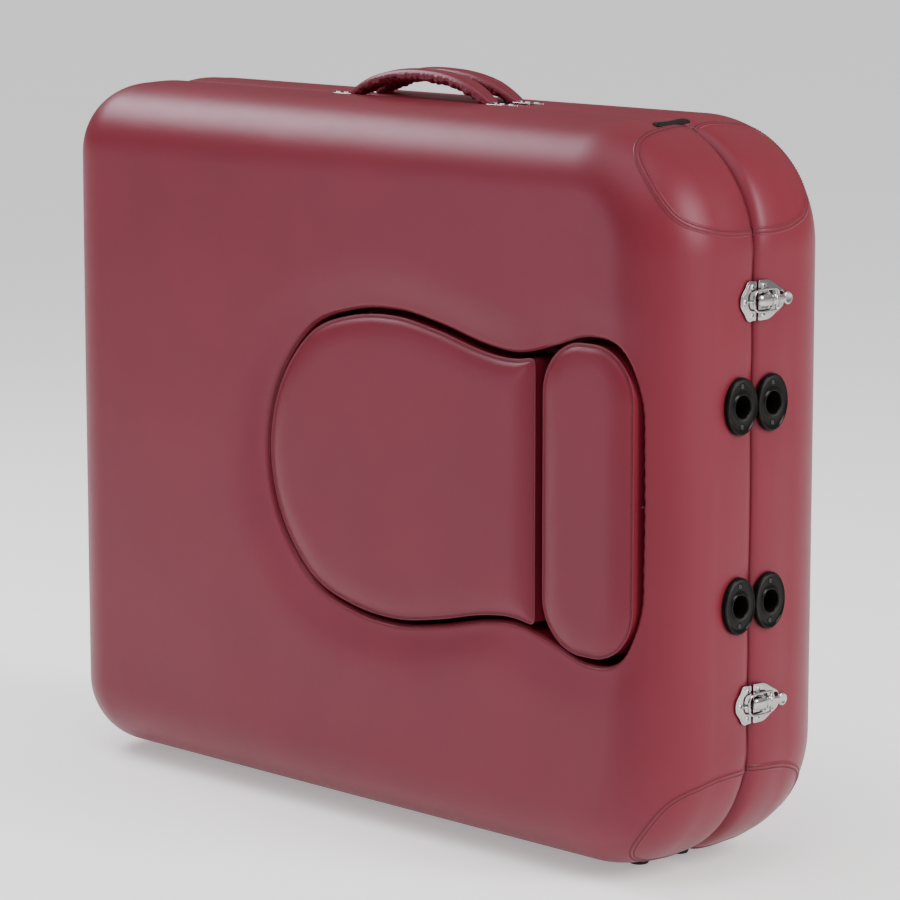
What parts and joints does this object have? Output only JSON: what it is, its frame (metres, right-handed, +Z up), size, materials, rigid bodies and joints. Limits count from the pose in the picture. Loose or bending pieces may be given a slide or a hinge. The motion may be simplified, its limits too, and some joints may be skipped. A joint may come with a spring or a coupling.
{
  "type": "portable massage table",
  "caption": "Folding padded massage table shown folded shut like a case, with plugs in its belly opening, hinged legs, handles and draw latches.",
  "frame": {"origin": "centre of the footprint of the whole folded table, on the floor under its rubber buttons", "axes": "+X along the folded length from the fold hinge to the latches, +Y across the thickness from the head half to the foot half, +Z up"},
  "size_m": [0.9542, 0.27, 0.7985],
  "materials": {
    "cover_leather": "smooth soft-sheen upholstery vinyl with a fine grain",
    "foam": "open-cell polyurethane foam",
    "deck_plywood": "thin birch plywood, clear satin",
    "rail_wood": "sanded softwood, clear satin",
    "leg_wood": "beech, clear satin lacquer",
    "zinc_steel": "zinc-plated steel",
    "outlet_black": "black moulded plastic, gloss",
    "screw_steel": "plated steel screw",
    "foot_rubber": "black rubber, matt",
    "handle_leather": "padded leather with stitched ribs",
    "latch_chrome": "polished chrome plate",
    "knob_black": "black moulded plastic, matt",
    "strap_black": "black woven webbing"
  },
  "bodies": {
    "head_half": {"head_cover": "cover_leather", "head_foam_pad": "foam", "head_side_padding": "foam", "head_deck": "deck_plywood", "head_rails": "rail_wood", "head_leg_brackets": "zinc_steel", "head_brace_catches": "zinc_steel", "head_hinge_leaf": "zinc_steel", "head_outlets": "outlet_black", "head_outlet_screws": "screw_steel", "head_case_feet": "foot_rubber", "head_handle_plates": "latch_chrome", "upper_latch_keeper": "latch_chrome", "lower_latch_keeper": "latch_chrome", "pull_tab": "strap_black", "pull_tab_screw": "screw_steel", "fold_hinge_pin": "zinc_steel"},
    "foot_half": {"foot_cover": "cover_leather", "foot_foam_pad": "foam", "foot_side_padding": "foam", "foot_deck": "deck_plywood", "foot_rails": "rail_wood", "foot_leg_brackets": "zinc_steel", "foot_brace_catches": "zinc_steel", "foot_hinge_leaf": "zinc_steel", "foot_outlets": "outlet_black", "foot_outlet_screws": "screw_steel", "foot_case_feet": "foot_rubber", "foot_handle_plates": "latch_chrome", "upper_latch_base": "latch_chrome", "lower_latch_base": "latch_chrome"},
    "belly_plug": {"belly_plug_cushion": "cover_leather", "belly_plug_board": "deck_plywood"},
    "chest_plug": {"chest_plug_cushion": "cover_leather", "chest_plug_board": "deck_plywood"},
    "head_legs": {"head_leg_frame": "leg_wood", "head_brace_pins": "zinc_steel"},
    "head_brace_pair": {"head_braces": "zinc_steel"},
    "head_slat_low": {"head_slat_low": "leg_wood", "head_leg_tip_low": "foot_rubber"},
    "head_knob_low": {"head_knob_low": "knob_black"},
    "head_slat_high": {"head_slat_high": "leg_wood", "head_leg_tip_high": "foot_rubber"},
    "head_knob_high": {"head_knob_high": "knob_black"},
    "head_handle": {"head_handle": "handle_leather"},
    "foot_legs": {"foot_leg_frame": "leg_wood", "foot_brace_pins": "zinc_steel"},
    "foot_brace_pair": {"foot_braces": "zinc_steel"},
    "foot_slat_low": {"foot_slat_low": "leg_wood", "foot_leg_tip_low": "foot_rubber"},
    "foot_knob_low": {"foot_knob_low": "knob_black"},
    "foot_slat_high": {"foot_slat_high": "leg_wood", "foot_leg_tip_high": "foot_rubber"},
    "foot_knob_high": {"foot_knob_high": "knob_black"},
    "foot_handle": {"foot_handle": "handle_leather"},
    "upper_latch_lever": {"upper_latch_lever": "latch_chrome"},
    "upper_latch_bail": {"upper_latch_bail": "latch_chrome"},
    "lower_latch_lever": {"lower_latch_lever": "latch_chrome"},
    "lower_latch_bail": {"lower_latch_bail": "latch_chrome"}
  },
  "joints": [
    {"name": "main_fold", "type": "hinge", "parent": "head_half", "child": "foot_half", "pos_m": [-0.4735, 0, 0.389], "axis": [0, 0, 1], "range_deg": [0, 180]},
    {"name": "head_legs_fold", "type": "hinge", "parent": "head_half", "child": "head_legs", "pos_m": [0.368, -0.0485, 0.389], "axis": [0, 0, 1], "range_deg": [-90, 0]},
    {"name": "head_braces_turn", "type": "hinge", "parent": "head_legs", "child": "head_brace_pair", "pos_m": [0.168, -0.0485, 0.389], "axis": [0, 0, 1], "range_deg": [0, 120]},
    {"name": "head_slat_low_slide", "type": "slide", "parent": "head_legs", "child": "head_slat_low", "axis": [-1, 0, 0], "range_m": [0, 0.225]},
    {"name": "head_knob_low_turn", "type": "hinge", "parent": "head_legs", "child": "head_knob_low", "pos_m": [0.098, 0, 0.089], "axis": [0, 1, 0], "continuous": true},
    {"name": "head_slat_high_slide", "type": "slide", "parent": "head_legs", "child": "head_slat_high", "axis": [-1, 0, 0], "range_m": [0, 0.225]},
    {"name": "head_knob_high_turn", "type": "hinge", "parent": "head_legs", "child": "head_knob_high", "pos_m": [0.098, 0, 0.689], "axis": [0, 1, 0], "continuous": true},
    {"name": "head_handle_swing", "type": "hinge", "parent": "head_half", "child": "head_handle", "pos_m": [0, -0.019, 0.779], "axis": [1, 0, 0], "range_deg": [0, 60]},
    {"name": "foot_legs_fold", "type": "hinge", "parent": "foot_half", "child": "foot_legs", "pos_m": [0.368, 0.0485, 0.389], "axis": [0, 0, 1], "range_deg": [0, 90]},
    {"name": "foot_braces_turn", "type": "hinge", "parent": "foot_legs", "child": "foot_brace_pair", "pos_m": [0.168, 0.0485, 0.389], "axis": [0, 0, 1], "range_deg": [-120, 0]},
    {"name": "foot_slat_low_slide", "type": "slide", "parent": "foot_legs", "child": "foot_slat_low", "axis": [-1, 0, 0], "range_m": [0, 0.225]},
    {"name": "foot_knob_low_turn", "type": "hinge", "parent": "foot_legs", "child": "foot_knob_low", "pos_m": [0.098, 0, 0.138], "axis": [0, 1, 0], "continuous": true},
    {"name": "foot_slat_high_slide", "type": "slide", "parent": "foot_legs", "child": "foot_slat_high", "axis": [-1, 0, 0], "range_m": [0, 0.225]},
    {"name": "foot_knob_high_turn", "type": "hinge", "parent": "foot_legs", "child": "foot_knob_high", "pos_m": [0.098, 0, 0.64], "axis": [0, 1, 0], "continuous": true},
    {"name": "foot_handle_swing", "type": "hinge", "parent": "foot_half", "child": "foot_handle", "pos_m": [0, 0.019, 0.779], "axis": [-1, 0, 0], "range_deg": [0, 60]},
    {"name": "belly_plug_lift", "type": "slide", "parent": "head_half", "child": "belly_plug", "axis": [0, -1, 0], "range_m": [0, 0.12]},
    {"name": "chest_plug_lift", "type": "slide", "parent": "head_half", "child": "chest_plug", "axis": [0, -1, 0], "range_m": [0, 0.12]},
    {"name": "upper_lever_turn", "type": "hinge", "parent": "foot_half", "child": "upper_latch_lever", "pos_m": [0.4741, 0.011, 0.594], "axis": [0, 0, -1], "range_deg": [0, 75]},
    {"name": "upper_bail_turn", "type": "hinge", "parent": "upper_latch_lever", "child": "upper_latch_bail", "pos_m": [0.4741, 0.023, 0.594], "axis": [0, 0, 1], "range_deg": [0, 95]},
    {"name": "lower_lever_turn", "type": "hinge", "parent": "foot_half", "child": "lower_latch_lever", "pos_m": [0.4741, 0.011, 0.184], "axis": [0, 0, -1], "range_deg": [0, 75]},
    {"name": "lower_bail_turn", "type": "hinge", "parent": "lower_latch_lever", "child": "lower_latch_bail", "pos_m": [0.4741, 0.023, 0.184], "axis": [0, 0, 1], "range_deg": [0, 95]}
  ],
  "couplings": [
    {"joint": "head_legs_fold", "follows": "main_fold", "ratio": -0.5},
    {"joint": "head_braces_turn", "follows": "main_fold", "ratio": 0.66666},
    {"joint": "foot_legs_fold", "follows": "main_fold", "ratio": 0.5},
    {"joint": "foot_braces_turn", "follows": "main_fold", "ratio": -0.66666},
    {"joint": "upper_bail_turn", "follows": "upper_lever_turn", "ratio": 1.2667},
    {"joint": "lower_bail_turn", "follows": "lower_lever_turn", "ratio": 1.2667}
  ]
}
